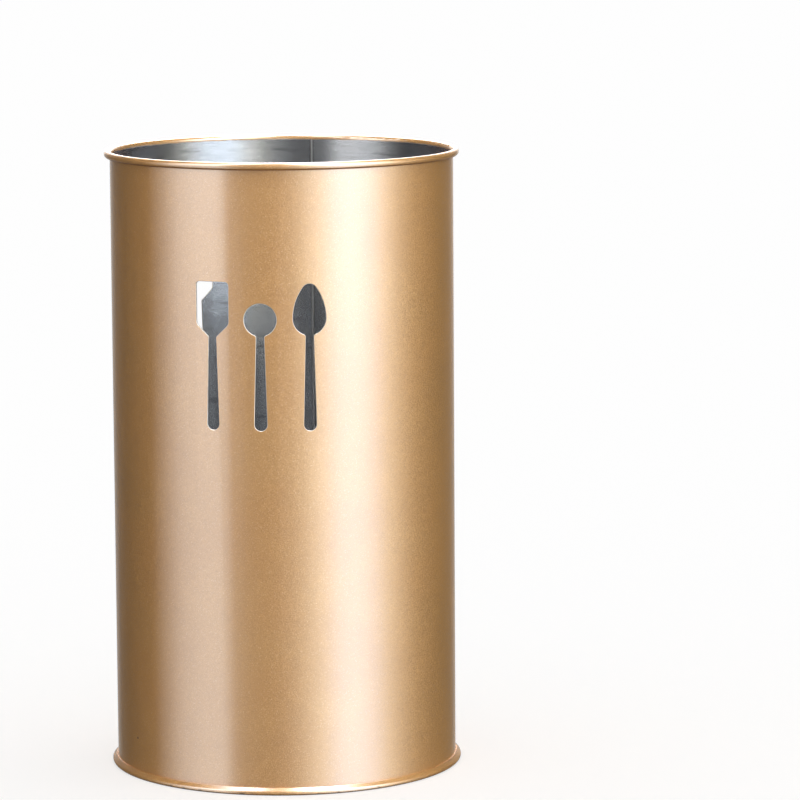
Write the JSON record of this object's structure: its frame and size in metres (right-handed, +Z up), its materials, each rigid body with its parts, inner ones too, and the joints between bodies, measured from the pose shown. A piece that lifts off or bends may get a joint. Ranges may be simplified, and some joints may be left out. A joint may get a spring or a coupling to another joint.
{
  "type": "cutlery drainer",
  "caption": "Tall round sheet-metal canister, open at the top, with a rolled rim, a perforated base folded over its flared foot and utensil-shaped cut-outs in its wall.",
  "frame": {"origin": "centre of the ring that the canister stands on, on the axis and on the standing plane", "axes": "+Z up along the canister's axis, -Y towards the first group of cut-outs, +X to the right as seen from there"},
  "size_m": [0.1, 0.1, 0.175],
  "materials": {
    "gold_paint": "metallic gold spray paint with fine flake on the outside and over the rim, bare brushed steel inside",
    "base_gold_paint": "metallic gold spray paint on the seam and under the base, chipped along the bottom edge, bare brushed steel inside",
    "weld_steel": "planished weld line, bright steel with a thin heat-tinted edge inside and gold paint outside"
  },
  "bodies": {
    "root": {"body_wall": "gold_paint", "side_seam_weld": "weld_steel", "base_end": "base_gold_paint"}
  },
  "joints": []
}
